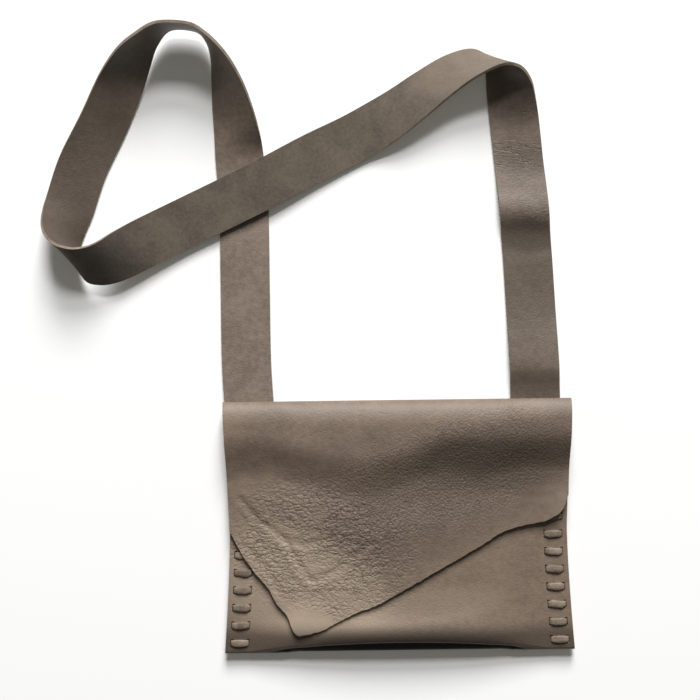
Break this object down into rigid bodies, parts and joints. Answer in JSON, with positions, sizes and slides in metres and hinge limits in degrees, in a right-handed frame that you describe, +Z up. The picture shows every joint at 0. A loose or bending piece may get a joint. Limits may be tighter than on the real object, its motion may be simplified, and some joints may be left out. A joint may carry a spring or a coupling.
{
  "type": "leather crossbody bag",
  "caption": "Flat leather bag with a slanting fold-over flap, laced sides and a wide shoulder strap laid out in a twisted loop.",
  "frame": {"origin": "on the back panel's face, in the middle between the laced sides, where the bag rests on a table", "axes": "+X across the bag to the right as it lies flap up, +Y from the bag to the laid-out strap, +Z up from the table"},
  "size_m": [0.3714, 0.4463, 0.0352],
  "materials": {
    "bag_leather": "matte",
    "strap_leather": "satin",
    "lace_leather_left": "matte",
    "lace_leather_right": "matte"
  },
  "bodies": {
    "root": {"bag_body": "bag_leather", "shoulder_strap": "strap_leather", "lace_left": "lace_leather_left", "lace_right": "lace_leather_right"}
  },
  "joints": []
}
